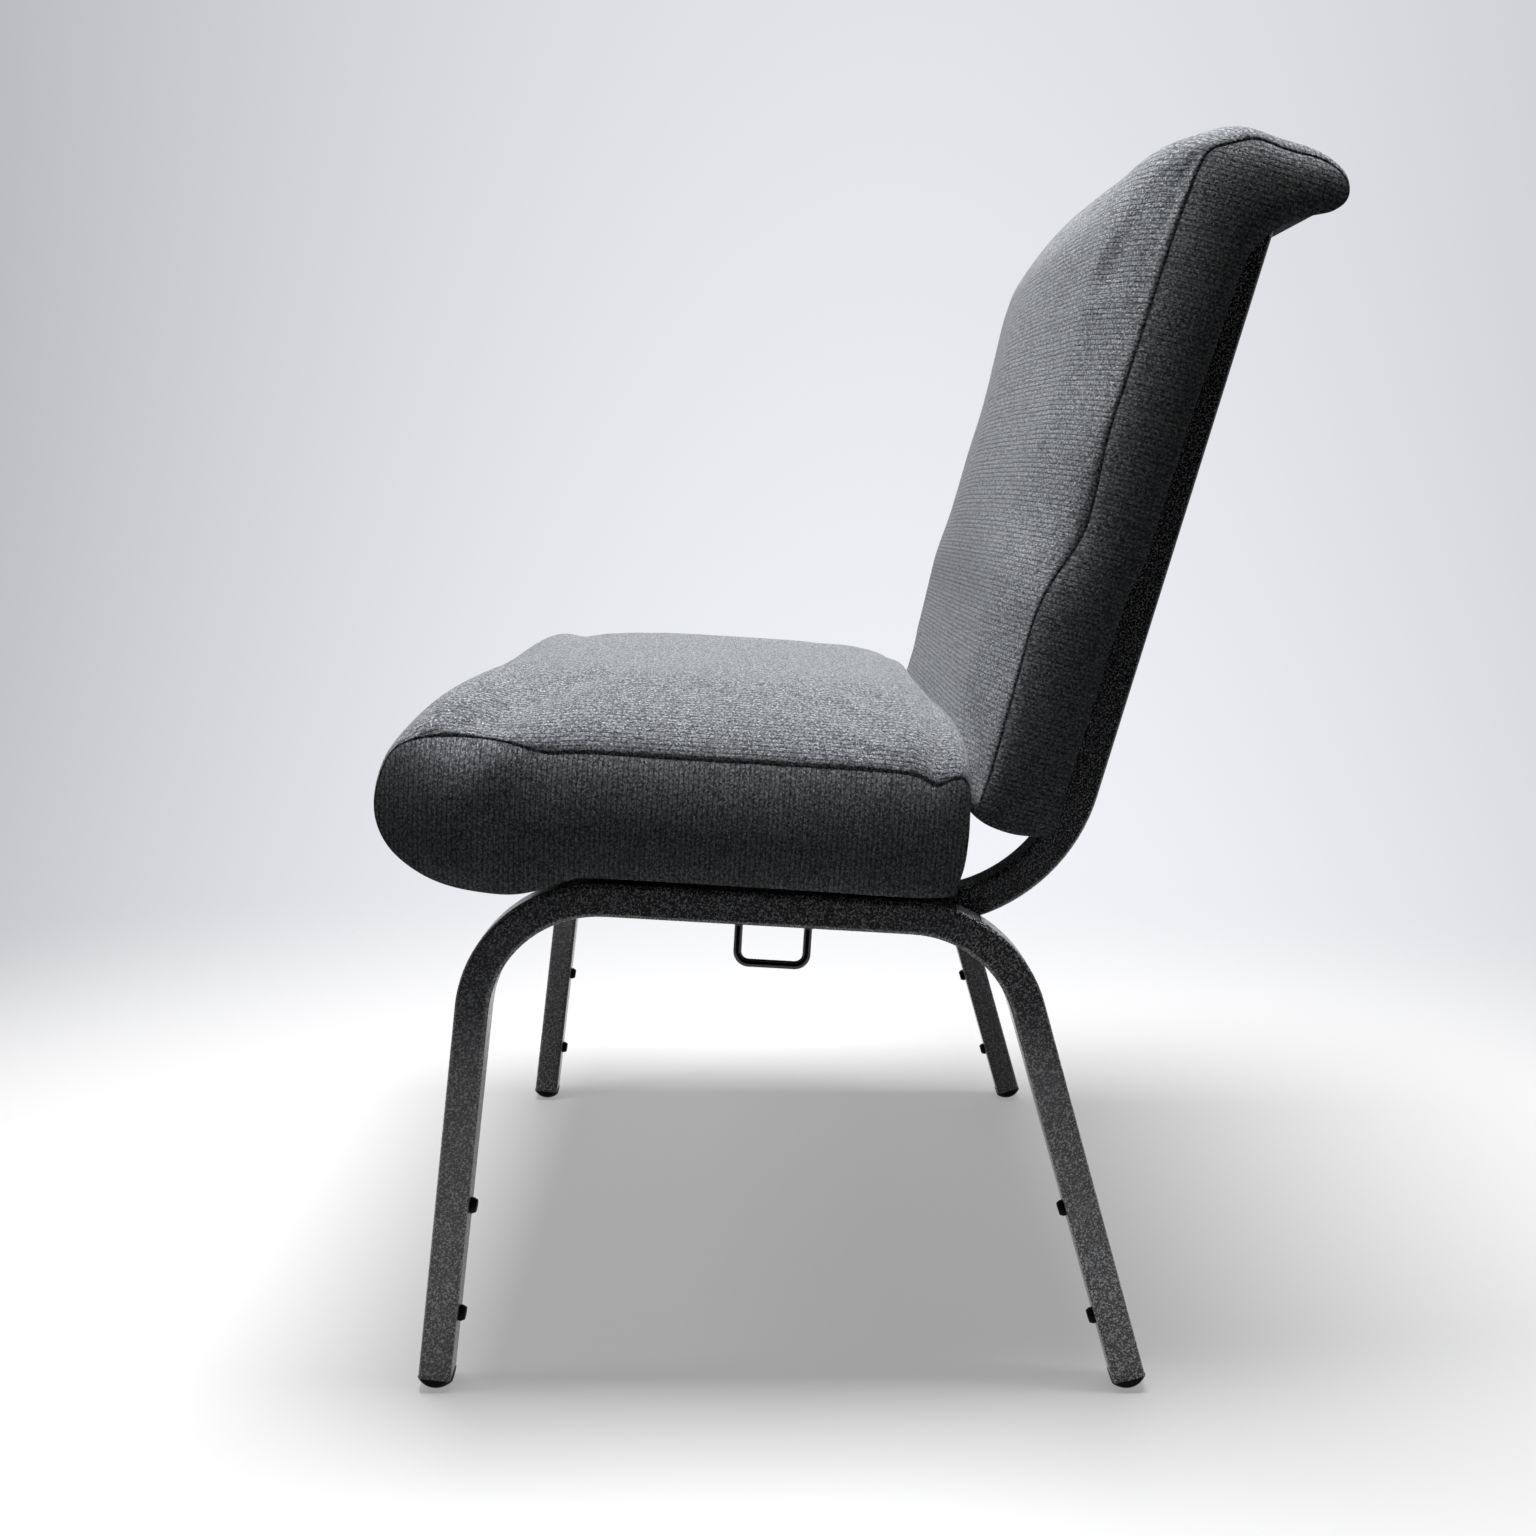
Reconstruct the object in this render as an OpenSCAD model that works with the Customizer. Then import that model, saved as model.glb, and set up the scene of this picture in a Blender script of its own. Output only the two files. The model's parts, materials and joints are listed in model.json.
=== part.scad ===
// Stacking church chair: waterfall seat, roll-top back and a bent square-tube frame that gangs into rows.
// Millimetres. X runs across the chair, -Y is its front, +Z is up, and the feet stand on Z = 0.

/* [Frame tube] */
// Outer size of the square tube
tube = 23; // [20:0.5:25]
// Wall of the square tube
tube_wall = 1.5; // [1.2:0.1:2.5]
// Outer rounding of the tube's edges
tube_edge_r = 3; // [2:0.5:4]

/* [Leg frames] */
// Width over the outer faces of the two leg frames
frame_w = 528; // [490:1:560]
// Length of the side rail behind the rear of the seat cushion, to the corner of its centre line
rail_past_seat = 30; // [20:1:45]
// Height of the side rail's centre line at its front corner
rail_h = 365; // [340:1:400]
// Fall of the side rail towards the rear, in degrees
rail_fall = 3.4; // [1:0.1:5]
// Bend radius of the leg frame, to the centre line
leg_bend_r = 87; // [70:1:95]
// Lean of the front leg from upright, in degrees
front_lean = 7.6; // [4:0.1:10]
// Lean of the rear leg from upright, in degrees
rear_lean = 16.3; // [12:0.1:18]

/* [Back tubes] */
// Distance of the back tube's corner behind the rail's rear corner, along the rail line
back_past_rail = 29.5; // [20:0.5:40]
// Lean of the back from upright, in degrees
back_lean = 14.8; // [11:0.1:18]
// Bend radius of the back tube, to the centre line
back_bend_r = 109; // [90:1:120]
// Distance of the back tube's front end behind the rail's front corner
back_tube_start = 66; // [60:1:72]

/* [Cross tubes] */
// Distance of the front cross tube behind the rail's front corner
front_cross_at = 92; // [90:1:115]
// Distance of the rear cross tube in front of the rear of the seat cushion
rear_cross_in = 66; // [50:1:110]
// Height by which the cross tubes stand proud of the rails, so that they carry the seat
cross_rise = 3.2; // [2:0.1:4]

/* [Seat] */
// Distance that each side of the seat stands outside the leg frame
seat_over = 2.5; // [0:0.5:6]
// Reach of the seat's nose in front of the rail's front corner
nose_reach = 72; // [60:1:85]
// Distance from the rail's front corner to the rear of the seat cushion
seat_run = 318; // [305:1:330]
// Height of the seat's side panel from its rim to its seam
seat_side_h = 83; // [70:1:95]
// Rise of the seat's crown above the side seam
seat_crown = 45; // [30:1:50]
// Swell of each side panel of the seat and the back
side_puff = 3; // [1:0.5:5]
// Thickness of the plywood boards
board_t = 12; // [9:0.5:15]
// Inset of the seat board from the sides of the cushion
seat_board_inset = 13; // [12:0.5:20]
// Thickness of the dust cover below the seat board
dust_cover_t = 0.8; // [0.6:0.1:1.2]

/* [Back] */
// Distance that each side of the back stands inside the outer face of the leg frame
back_inside = 14; // [6:0.5:15]
// Height of the back cushion from its lower edge to the top of its side panel
back_h = 458; // [420:1:500]
// Thickness of the back's side panel
back_side_t = 51; // [45:1:60]
// Swell of the back's front panel beyond its seam
back_crown = 39; // [25:1:45]
// Thickness of the rear panel between the back tubes
rear_panel_t = 16; // [10:0.5:18]

/* [Ganging] */
// Diameter of the ganging rod
rod_d = 5.5; // [5:0.5:7]
// Outer width of the ganging loop
loop_w = 52; // [46:1:60]
// Drop of the ganging loop below the rail
loop_drop = 30; // [26:1:36]
// Distance of the loop's middle behind the rail's front corner
loop_at = 194; // [170:1:210]
// Distance of the loop's rod outwards from the rail's middle
loop_offset = 5; // [3:0.5:6]
// Bend radius of the rod, to its centre line
rod_bend_r = 8; // [7:0.5:9]
// Clearance between the hook and a neighbour's loop
hook_clearance = 1; // [0.5:0.5:2]

/* [Feet and bumpers] */
// Radius of the dome below each foot
foot_dome_r = 16; // [15.5:0.5:18]
// Height of the visible foot cap along the leg
foot_cap_h = 10; // [9.6:0.2:11]
// Height of the lower stacking bumpers above the floor
bumper_low_z = 57; // [50:1:80]
// Height of the upper stacking bumpers above the floor
bumper_high_z = 139; // [120:1:170]
// Diameter of a stacking bumper
bumper_d = 11; // [9:0.5:12]
// Height of a bumper's button above the tube
bumper_h = 4.5; // [3:0.5:6]

/* [Bolts] */
// Diameter of the bolts
bolt_d = 6; // [5:0.5:6]
// Half the spacing of the seat bolts across the chair
seat_bolt_x = 150; // [120:1:180]
// Height of the lower back bolts above the back board's lower edge
back_bolt_low = 45; // [35:1:80]
// Distance of the upper back bolts below the back board's upper edge
back_bolt_high = 50; // [40:1:90]

/* [Hidden] */

// Fits and small sizes
overrun = 1;
soft_gap = 0.3;
plug_clearance = 0.2;
hole_clearance = 0.3;
head_clearance = 1;
foot_lip = 0.4;
foot_flat = 0.4;
plug_len = 18;
plug_core = 11;
fin_t = 1.6;
fin_count = 3;
end_plug_t = 2.5;
stem_d = 6;
stem_len = 7;
bumper_edge_share = 0.45;
bumper_face_share = 0.78;
rail_start_y = -239;
board_corner_r = 30;
board_front = -22;
cover_front = 79;
board_rear_inset = 20;
back_board_inset = 10;
back_board_rise = 4;
back_board_drop = 42;
panel_gap = 0.5;
panel_drop = 60;
panel_edge_r = 5;
cushion_tube_cover = 20;
bend_lap = 0.4;
bend_swell_share = 0.004;
weld_gap = 0.1;
hook_grip = 3;
weld_leg = 1.4;
bolt_head_d = 12;
bolt_head_h = 3.4;
bolt_drive_d = 4;
bolt_drive_h = 2;
t_nut_flange_d = 19;
t_nut_flange_t = 1.5;
t_nut_barrel_d = 8;
thread_clearance = 0.05;

// Facets
curve_fn = 96;
round_fn = 48;
edge_fn = 32;
outline_steps = 2;
seat_sections = 8;
back_sections = 6;
crown_power = 6;
cap_inset = 6;

// Positions that follow from the sizes above
seat_w = frame_w + 2 * seat_over;
back_w = frame_w - 2 * back_inside;
rail_len = seat_run + rail_past_seat;
back_run = rail_len + back_past_rail;
rear_cross_at = seat_run - rear_cross_in;
half_tube = tube / 2;
hollow = tube - 2 * tube_wall;
hollow_edge_r = tube_edge_r - tube_wall;
rail_x = (frame_w - tube) / 2;
back_tube_x = rail_x - tube - weld_gap;
back_tube_inner = back_tube_x - half_tube;
foot_z = foot_dome_r - foot_flat;
foot_seat = foot_dome_r - foot_cap_h;
rail_rear_y = rail_start_y + rail_len * cos(rail_fall);
rail_rear_z = rail_h - rail_len * sin(rail_fall);
front_foot_y = rail_start_y - (rail_h - foot_z) * tan(front_lean);
rear_foot_y = rail_rear_y + (rail_rear_z - foot_z) * tan(rear_lean);
back_corner_y = rail_start_y + back_run * cos(rail_fall);
back_corner_z = rail_h - back_run * sin(rail_fall);
front_turn = 90 + rail_fall - front_lean;
rear_turn = 90 - rail_fall - rear_lean;
back_turn = 90 + rail_fall - back_lean;
front_bend_run = leg_bend_r * tan(front_turn / 2);
rear_bend_run = leg_bend_r * tan(rear_turn / 2);
back_bend_run = back_bend_r * tan(back_turn / 2);
rim_z = half_tube + cross_rise + dust_cover_t;
board_half_w = seat_w / 2 - seat_board_inset;
board_rear = seat_run - board_rear_inset;
back_bottom_share = 0.58;
back_bottom = back_bend_run * back_bottom_share;
back_top = back_bottom + back_h;
back_tube_top = back_top - cushion_tube_cover;
back_board_bottom = back_bend_run + back_board_rise;
back_board_top = back_top - back_board_drop;
back_board_half_w = back_w / 2 - back_board_inset;
panel_top = back_top - panel_drop;
panel_half_w = back_tube_inner - panel_gap;
hook_w = loop_w - 2 * rod_d - 4 * hook_clearance;
loop_x = rail_x + loop_offset;
hook_x = rail_x - loop_offset;
hook_reach = seat_w - loop_x + rod_d + hook_clearance;
hook_out_drop = loop_drop - 3 * rod_d / 2 - hook_clearance;
hook_tip_drop = hook_out_drop + 2 * rod_bend_r + hook_grip;
hook_overhang = hook_reach + rod_d / 2 - seat_w / 2;
centre_x = hook_overhang / 2;

// Outline of the seat, from the rear of its rim forwards and round the nose. Each row holds the station
// along the seat (-1 nose, 0 rail corner, 1 end of the front bend, 2 rear), the height as a share of the
// side panel's, and how far the crown carries that point forwards and upwards, as shares of the crown.
seat_outline_shares = [
    [1.93, 0, 0, 0], [1.45, 0, 0, 0], [0.94, 0, 0, 0], [0.7, -0.03, 0, 0], [0.48, -0.12, 0, 0],
    [0.25, -0.175, 0, 0], [0, -0.17, 0, -0.04], [-0.31, -0.13, -0.02, -0.05],
    [-0.58, -0.04, -0.05, -0.04], [-0.83, 0.12, -0.08, 0], [-0.97, 0.32, -0.1, 0.05],
    [-1, 0.54, -0.11, 0.08], [-0.93, 0.8, -0.12, 0.1], [-0.81, 0.97, -0.1, 0.16],
    [-0.57, 1.055, -0.08, 0.42], [-0.25, 1.08, -0.02, 0.76], [0.07, 1.07, 0, 0.84],
    [0.3, 1.025, 0, 0.93], [0.5, 0.98, 0, 1.01], [0.77, 1.005, 0, 0.99], [1.17, 1, 0, 1.02],
    [1.5, 1, 0, 1.01], [1.8, 0.99, 0, 0.98], [1.94, 0.97, 0, 0.86], [1.995, 0.87, 0.08, 0.58],
    [2, 0.45, 0.1, 0.16], [1.985, 0.13, 0.05, 0]
];

// Outline of the back, from its lower rear edge forwards, up the front, over the roll and down the rear.
// Each row holds the height as a share of the back's, the depth in front of the tube as a share of the
// side panel's, and how far the crown carries that point up and forwards, as shares of the crown.
back_outline_shares = [
    [0.017, 0.08, 0, 0], [0.002, 0.33, -0.08, 0], [0, 0.63, -0.1, 0.05], [0.006, 0.94, -0.08, 0.15],
    [0.024, 1.05, 0, 0.27], [0.075, 1.02, 0, 0.43], [0.15, 1.03, 0, 0.45], [0.235, 1.045, 0, 0.45],
    [0.31, 1.055, 0, 0.49], [0.362, 0.975, 0, 0.66], [0.402, 0.855, 0, 0.84],
    [0.445, 0.75, 0, 0.99], [0.5, 0.76, 0, 0.98], [0.58, 0.815, 0, 0.92], [0.68, 0.79, 0, 0.95],
    [0.785, 0.77, 0, 0.99], [0.88, 0.74, 0, 1.02], [0.94, 0.71, 0.04, 0.94],
    [0.971, 0.62, 0.16, 0.8], [0.987, 0.38, 0.34, 0.58], [1, 0.12, 0.43, 0.38],
    [0.996, -0.25, 0.46, 0.2], [0.997, -0.68, 0.4, 0.02], [0.987, -1, 0.3, -0.07],
    [0.968, -1.14, 0.26, -0.1], [0.951, -1.14, 0.24, -0.1], [0.935, -1, 0.22, -0.03],
    [0.921, -0.74, 0.18, 0], [0.903, -0.5, 0.1, 0], [0.878, -0.3, 0.04, 0], [0.847, -0.19, 0, 0],
    [0.77, -0.155, 0, 0], [0.63, -0.12, 0, 0], [0.46, -0.1, 0, 0], [0.41, -0.085, 0, 0],
    [0.378, 0.03, 0, 0], [0.32, 0.06, 0, 0], [0.19, 0.065, 0, 0], [0.08, 0.06, 0, 0]
];

// Point on the smooth curve through p1 and p2, at share t of the way from one to the other
function smooth_point(p0, p1, p2, p3, t) =
    (2 * p1 + (p2 - p0) * t + (2 * p0 - 5 * p1 + 4 * p2 - p3) * t * t
    + (3 * p1 - p0 - 3 * p2 + p3) * t * t * t) / 2;

// Closed smooth curve through rows of any width
function smooth_loop(rows, steps) = [
    for (i = [0 : len(rows) - 1], j = [0 : steps - 1])
        smooth_point(rows[(i + len(rows) - 1) % len(rows)], rows[i], rows[(i + 1) % len(rows)],
            rows[(i + 2) % len(rows)], j / steps)
];

// Point of a closed loop moved inwards along its normal
function inset_point(loop, i, amount) =
    let (
        along = loop[(i + 1) % len(loop)] - loop[(i + len(loop) - 1) % len(loop)],
        inwards = [along[1], -along[0]] / norm(along)
    )
    loop[i] + inwards * amount;

// Distance along the seat for a station of its outline
function seat_station(k) =
    k < 0 ? k * nose_reach
    : k < 1 ? k * front_bend_run
    : front_bend_run + (k - 1) * (seat_run - front_bend_run);

// Share of the crown that is reached at share u of the half width
function crown_share(u) = pow(1 - pow(abs(u), crown_power), 1 / 2);

// Loops of points from one side of a cushion to the other. Rows hold [y, z, crown y, crown z].
function cushion_rings(rows, half_w, count) =
    let (
        inner_w = half_w - side_puff,
        side = [for (r = rows) [r[0], r[1]]],
        cap = [for (i = [0 : len(side) - 1]) inset_point(side, i, cap_inset)]
    )
    concat(
        [[for (p = cap) [-half_w, p[0], p[1]]]],
        [for (k = [-count : count])
            let (u = sin(90 * k / count))
            [for (r = rows) [u * inner_w, r[0] + r[2] * crown_share(u), r[1] + r[3] * crown_share(u)]]],
        [[for (p = cap) [half_w, p[0], p[1]]]]
    );

// Twice the signed area of a triangle
function turn_of(a, b, c) = (b[0] - a[0]) * (c[1] - a[1]) - (b[1] - a[1]) * (c[0] - a[0]);

// True where corner k of a clockwise loop turns inwards and its triangle holds no other point of the loop
function is_ear(points, loop, k) =
    let (
        n = len(loop),
        a = points[loop[(k + n - 1) % n]],
        b = points[loop[k]],
        c = points[loop[(k + 1) % n]]
    )
    turn_of(a, b, c) < 0 && len([
        for (i = [2 : n - 2])
            let (p = points[loop[(k + i) % n]])
            if (turn_of(a, b, p) <= 0 && turn_of(b, c, p) <= 0 && turn_of(c, a, p) <= 0) i
    ]) == 0;

// Triangles that fill a clockwise loop, hollows in its outline included
function fill_loop(points, loop) =
    len(loop) == 3 ? [loop]
    : let (n = len(loop), k = [for (i = [0 : n - 1]) if (is_ear(points, loop, i)) i][0])
    concat(
        [[loop[(k + n - 1) % n], loop[k], loop[(k + 1) % n]]],
        fill_loop(points, [for (i = [0 : n - 1]) if (i != k) loop[i]])
    );

// Solid skin over loops of equal length, closed by flat ends
module skin(rings) {
    n = len(rings[0]);
    last = (len(rings) - 1) * n;
    points = [for (ring = rings) each ring];
    sides = [
        for (k = [0 : n : last - n], i = [0 : n - 1])
            let (a = k + i, b = k + (i + 1) % n)
            each [[a, b, b + n], [a, b + n, a + n]]
    ];
    end = fill_loop([for (p = rings[0]) [p[1], p[2]]], [for (i = [0 : n - 1]) i]);
    first_end = [for (f = end) [f[2], f[1], f[0]]];
    last_end = [for (f = end) [f[0] + last, f[1] + last, f[2] + last]];
    polyhedron(points = points, faces = concat(sides, first_end, last_end), convexity = 6);
}

// Square outline with rounded corners, centred
module rounded_square(size, r) {
    flat = size - 2 * r;
    square([size, flat], center = true);
    square([flat, size], center = true);
    for (x = [-1, 1], y = [-1, 1]) {
        translate([x * flat / 2, y * flat / 2]) circle(r = r, $fn = edge_fn);
    }
}

// Rectangle with rounded corners, centred
module rounded_plate(w, l, r) {
    square([w, l - 2 * r], center = true);
    square([w - 2 * r, l], center = true);
    for (x = [-1, 1], y = [-1, 1]) {
        translate([x * (w / 2 - r), y * (l / 2 - r)]) circle(r = r, $fn = edge_fn);
    }
}

// Bend about the Y axis. Its profile swells a little, as a bent bar's does, and laps over both straights.
module bend(turn, r) {
    rotate([0, -bend_lap, 0]) mirror([1, 0, 0]) rotate([90, 0, 0])
        rotate_extrude(angle = turn + 2 * bend_lap, $fn = curve_fn)
        translate([r, 0]) scale(1 + bend_swell_share) children();
}

// Bar of the profile given as its child, from the origin along +Z. Each row of runs holds a straight
// length, the roll about it that points +X to the inside of the bend that follows, and that bend's angle.
module bent_bar(runs, r, i = 0) {
    linear_extrude(runs[i][0]) children();
    if (i < len(runs) - 1) {
        turn = runs[i][2];
        translate([0, 0, runs[i][0]]) rotate([0, 0, runs[i][1]]) translate([r, 0, 0]) {
            bend(turn, r) children();
            rotate([0, turn, 0]) translate([-r, 0, 0]) bent_bar(runs, r, i + 1) children();
        }
    }
}

// The same runs with the two open ends moved outwards, to be drawn from one overrun below the origin
function overrun_runs(runs) =
    let (last = len(runs) - 1)
    [
        for (i = [0 : last])
            [runs[i][0] + (i == 0 || i == last ? overrun : 0), runs[i][1], runs[i][2]]
    ];

// Hollow square tube bent along its runs
module bent_tube(runs, r) {
    difference() {
        bent_bar(runs, r) rounded_square(tube, tube_edge_r);
        translate([0, 0, -overrun]) bent_bar(overrun_runs(runs), r) rounded_square(hollow, hollow_edge_r);
    }
}

// Frame of the seat: origin on the rail's centre line at its front corner, +Y along the rail to the rear
module on_rail() {
    translate([centre_x, rail_start_y, rail_h]) rotate([-rail_fall, 0, 0]) children();
}

// Frame of the back: origin at the back tube's corner, +Z up along the tube, +Y square to it at the rear
module on_back() {
    translate([centre_x, back_corner_y, back_corner_z]) rotate([-back_lean, 0, 0]) children();
}

// Frame of a leg: origin at the centre of the foot's dome, +Z up along the leg
module on_leg(side, front) {
    translate([centre_x + side * rail_x, front ? front_foot_y : rear_foot_y, foot_z])
        rotate([front ? -front_lean : rear_lean, 0, 0]) children();
}

// Distance up a leg, from the dome's centre, of a height above the floor
function up_leg(z, front) = (z - foot_z) / cos(front ? front_lean : rear_lean);

module leg_frame(side) {
    front_len = (rail_h - foot_z) / cos(front_lean) + foot_seat;
    rear_len = (rail_rear_z - foot_z) / cos(rear_lean) + foot_seat;
    color("#3a3c3f") difference() {
        on_leg(side, true) translate([0, 0, -foot_seat]) bent_tube([
            [front_len - front_bend_run, 90, front_turn],
            [rail_len - front_bend_run - rear_bend_run, 0, rear_turn],
            [rear_len - rear_bend_run, 0, 0]
        ], leg_bend_r);
        for (front = [true, false], z = [bumper_low_z, bumper_high_z]) {
            on_leg(side, front) translate([0, 0, up_leg(z, front)])
                rotate([front ? -90 : 90, 0, 0])
                cylinder(h = tube, d = stem_d + 2 * hole_clearance, $fn = round_fn);
        }
    }
}

module back_tube(side) {
    color("#3a3c3f") difference() {
        on_rail() translate([side * back_tube_x, back_tube_start, 0]) rotate([-90, 0, 0]) bent_tube([
            [back_run - back_tube_start - back_bend_run, -90, back_turn],
            [back_tube_top - back_bend_run, 0, 0]
        ], back_bend_r);
        for (z = [back_board_bottom + back_bolt_low, back_board_top - back_bolt_high]) {
            on_back() translate([side * back_tube_x, 0, z]) rotate([-90, 0, 0]) {
                translate([0, 0, -tube])
                    cylinder(h = tube, d = bolt_d + 2 * hole_clearance, $fn = round_fn);
                cylinder(h = tube, d = bolt_head_d + 2 * head_clearance, $fn = round_fn);
            }
        }
    }
}

// Straight cross tube between the back tubes, centred at the origin
module cross_tube() {
    difference() {
        rotate([0, 90, 0]) linear_extrude(2 * back_tube_inner, center = true)
            rounded_square(tube, tube_edge_r);
        rotate([0, 90, 0]) linear_extrude(2 * back_tube_inner + 2 * overrun, center = true)
            rounded_square(hollow, hollow_edge_r);
    }
}

module seat_cross_tube(at) {
    color("#3a3c3f") on_rail() difference() {
        translate([0, at, cross_rise]) cross_tube();
        for (x = [-seat_bolt_x, seat_bolt_x]) {
            translate([x, at, cross_rise - tube])
                cylinder(h = 2 * tube, d = bolt_d + 2 * hole_clearance, $fn = round_fn);
        }
    }
}

module top_cross_tube() {
    color("#3a3c3f") on_back() translate([0, 0, back_tube_top - half_tube]) cross_tube();
}

// Solid core with fins that grips the inside of a tube, standing on the origin
module ribbed_plug() {
    fin_pitch = (plug_len - fin_t) / fin_count;
    fin_size = hollow - 2 * plug_clearance;
    linear_extrude(plug_len) rounded_square(plug_core, hollow_edge_r);
    for (i = [1 : fin_count]) {
        translate([0, 0, i * fin_pitch]) linear_extrude(fin_t) rounded_square(fin_size, hollow_edge_r);
    }
}

module tube_end_plugs() {
    color("#141416") for (side = [-1, 1]) {
        on_rail() translate([side * back_tube_x, back_tube_start, 0]) rotate([-90, 0, 0]) {
            ribbed_plug();
            translate([0, 0, -end_plug_t]) linear_extrude(end_plug_t) rounded_square(tube, tube_edge_r);
        }
    }
}

// Flared weld where a rod meets the underside of the rail
module rod_weld(x, y) {
    translate([x, y, -half_tube - weld_leg])
        cylinder(h = weld_leg, d1 = rod_d, d2 = rod_d + 2 * weld_leg, $fn = round_fn);
}

module ganging_loop() {
    drop = loop_drop - rod_d / 2;
    across = loop_w - rod_d;
    color("#1c1d1f") on_rail() {
        translate([loop_x, loop_at + across / 2, -half_tube]) rotate([180, 0, 0]) bent_bar([
            [drop - rod_bend_r, 90, 90],
            [across - 2 * rod_bend_r, 0, 90],
            [drop - rod_bend_r, 0, 0]
        ], rod_bend_r) circle(d = rod_d, $fn = round_fn);
        for (s = [-1, 1]) rod_weld(loop_x, loop_at + s * across / 2);
    }
}

module ganging_hook() {
    out = hook_reach - hook_x;
    down = hook_tip_drop - hook_out_drop;
    across = hook_w - rod_d;
    color("#1c1d1f") on_rail() {
        translate([-hook_x, loop_at - across / 2, -half_tube]) rotate([180, 0, 0]) bent_bar([
            [hook_out_drop - rod_bend_r, 180, 90],
            [out - 2 * rod_bend_r, 180, 90],
            [down - 2 * rod_bend_r, -90, 90],
            [across - 2 * rod_bend_r, 0, 90],
            [down - 2 * rod_bend_r, 90, 90],
            [out - 2 * rod_bend_r, 180, 90],
            [hook_out_drop - rod_bend_r, 0, 0]
        ], rod_bend_r) circle(d = rod_d, $fn = round_fn);
        for (s = [-1, 1]) rod_weld(-hook_x, loop_at + s * across / 2);
    }
}

module foot(side, front) {
    color("#141416") {
        intersection() {
            on_leg(side, front) {
                intersection() {
                    sphere(r = foot_dome_r, $fn = curve_fn);
                    translate([0, 0, -foot_dome_r]) linear_extrude(foot_cap_h)
                        rounded_square(tube + 2 * foot_lip, tube_edge_r);
                }
            }
            translate([centre_x + side * rail_x - tube, (front ? front_foot_y : rear_foot_y) - tube, 0])
                cube([2 * tube, 2 * tube, tube]);
        }
        on_leg(side, front) translate([0, 0, -foot_seat]) ribbed_plug();
    }
}

module bumper() {
    edge_h = bumper_h * bumper_edge_share;
    cylinder(h = edge_h, d = bumper_d, $fn = round_fn);
    translate([0, 0, edge_h])
        cylinder(h = bumper_h - edge_h, d1 = bumper_d, d2 = bumper_d * bumper_face_share, $fn = round_fn);
    translate([0, 0, -stem_len]) cylinder(h = stem_len, d = stem_d, $fn = round_fn);
}

module bumpers(side, front) {
    color("#141416") for (z = [bumper_low_z, bumper_high_z]) {
        on_leg(side, front) translate([0, (front ? 1 : -1) * half_tube, up_leg(z, front)])
            rotate([front ? -90 : 90, 0, 0]) bumper();
    }
}

// Bolt with a round head and a hexagon socket: the head's underside is at the origin, the shank goes up
module bolt(length) {
    cylinder(h = length, d = bolt_d, $fn = round_fn);
    difference() {
        translate([0, 0, -bolt_head_h]) cylinder(h = bolt_head_h, d = bolt_head_d, $fn = round_fn);
        translate([0, 0, -bolt_head_h - overrun])
            cylinder(h = bolt_drive_h + overrun, d = bolt_drive_d, $fn = 6);
    }
}

// Tee nut: the flange's outer face is at the origin, the barrel goes down into the board
module t_nut() {
    difference() {
        union() {
            translate([0, 0, -t_nut_flange_t])
                cylinder(h = t_nut_flange_t, d = t_nut_flange_d, $fn = round_fn);
            translate([0, 0, -board_t])
                cylinder(h = board_t - overrun, d = t_nut_barrel_d, $fn = round_fn);
        }
        translate([0, 0, -board_t - overrun])
            cylinder(h = board_t + 2 * overrun, d = bolt_d + 2 * thread_clearance, $fn = round_fn);
    }
}

// Hole and sunk seat that a tee nut fills
module t_nut_hole() {
    translate([0, 0, -t_nut_flange_t]) cylinder(h = board_t, d = t_nut_flange_d, $fn = round_fn);
    translate([0, 0, -board_t - overrun])
        cylinder(h = board_t + overrun, d = t_nut_barrel_d, $fn = round_fn);
}

// Places of the seat bolts, on the plane of the cushion's rim
module at_seat_bolts() {
    for (x = [-seat_bolt_x, seat_bolt_x], y = [front_cross_at, rear_cross_at]) {
        on_rail() translate([x, y, rim_z]) children();
    }
}

// Places of the back bolts, on the rear face of the back board
module at_back_bolts() {
    for (x = [-back_tube_x, back_tube_x]) {
        for (z = [back_board_bottom + back_bolt_low, back_board_top - back_bolt_high]) {
            on_back() translate([x, -half_tube, z]) rotate([90, 0, 0]) children();
        }
    }
}

// Plate as wide as the seat board, from one distance along the rail to the board's rear
module seat_plate(front, bottom, height) {
    on_rail() translate([0, (board_rear + front) / 2, bottom])
        linear_extrude(height) rounded_plate(2 * board_half_w, board_rear - front, board_corner_r);
}

module seat_board() {
    color("#b98d5a") difference() {
        seat_plate(board_front, rim_z, board_t);
        at_seat_bolts() translate([0, 0, board_t]) t_nut_hole();
    }
}

module dust_cover() {
    color("#1a1a1b") difference() {
        seat_plate(cover_front, rim_z - dust_cover_t, dust_cover_t);
        at_seat_bolts() translate([0, 0, -dust_cover_t - overrun])
            cylinder(h = dust_cover_t + 2 * overrun, d = bolt_d + 2 * hole_clearance, $fn = round_fn);
    }
}

module seat_bolts() {
    color("#2a2b2d") at_seat_bolts() translate([0, 0, -dust_cover_t - tube])
        bolt(tube + dust_cover_t + board_t - overrun);
}

module seat_t_nuts() {
    color("#9a9ca0") at_seat_bolts() translate([0, 0, board_t]) t_nut();
}

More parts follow.
